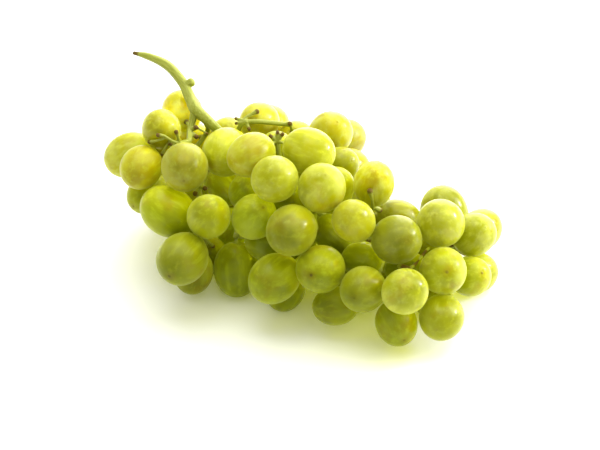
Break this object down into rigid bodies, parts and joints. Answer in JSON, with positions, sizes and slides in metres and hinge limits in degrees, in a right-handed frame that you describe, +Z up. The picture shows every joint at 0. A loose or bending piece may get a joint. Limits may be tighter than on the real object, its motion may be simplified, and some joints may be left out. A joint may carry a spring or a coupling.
{
  "type": "bunch of grapes",
  "caption": "Bunch of white table grapes lying on its side, with oval berries in side sprays on a green main stem and a cut stalk.",
  "frame": {"origin": "centre of the bounding box, at the surface that the bunch lies on", "axes": "+X from the cut stalk to the tip of the bunch, +Y to its far side, +Z up"},
  "size_m": [0.2062, 0.1406, 0.0922],
  "materials": {
    "grape_skin": "thin yellow-green skin, softly glossy under a pale waxy bloom",
    "green_stem": "smooth green stem, matt, browned at its ends and joints"
  },
  "bodies": {
    "root": {"stalk": "green_stem", "shoulder_spray": "grape_skin", "shoulder_back_spray": "grape_skin", "left_low_spray": "grape_skin", "top_left_spray": "grape_skin", "under_left_spray": "grape_skin", "top_middle_spray": "grape_skin", "middle_left_spray": "grape_skin", "under_middle_spray": "grape_skin", "middle_spray": "grape_skin", "back_right_spray": "grape_skin", "low_middle_spray": "grape_skin", "top_right_spray": "grape_skin", "under_right_spray": "grape_skin", "low_right_spray": "grape_skin", "low_tip_spray": "grape_skin", "tip_spray": "grape_skin"}
  },
  "joints": []
}
